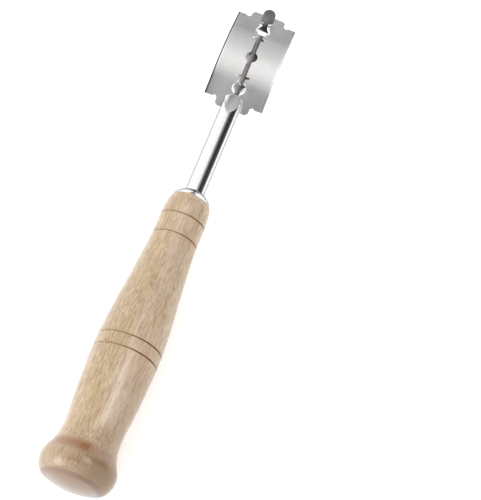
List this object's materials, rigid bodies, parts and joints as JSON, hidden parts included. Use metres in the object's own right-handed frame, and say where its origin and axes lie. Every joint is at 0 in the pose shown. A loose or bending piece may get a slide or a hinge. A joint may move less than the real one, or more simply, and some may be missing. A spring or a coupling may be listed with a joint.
{
  "type": "bread lame",
  "caption": "Hand tool for scoring bread dough: turned wooden handle, polished steel collar and shaft, and a bowed double-edge razor blade threaded on the shaft's tongue.",
  "frame": {"origin": "under the middle of the tool's length, level with the lowest point of the pommel", "axes": "+X along the tool from the pommel to the tip of the tongue, +Z the face that the blade bulges towards, +Y across the tool"},
  "size_m": [0.1946, 0.0264, 0.0264],
  "materials": {
    "wood": "clear satin lacquer over fine-grained pale wood",
    "adhesive": "cured, glossy, hidden",
    "polished_steel": "mirror polished",
    "blade_steel": "satin with ground edges"
  },
  "bodies": {
    "tool": {"handle": "wood", "ferrule": "polished_steel", "tang_adhesive": "adhesive", "shaft": "polished_steel"},
    "blade": {"blade": "blade_steel"}
  },
  "joints": [
    {"name": "blade_removal", "type": "slide", "parent": "tool", "child": "blade", "axis": [1, 0, 0], "range_m": [0, 0.05], "deforming": ["blade"]}
  ]
}
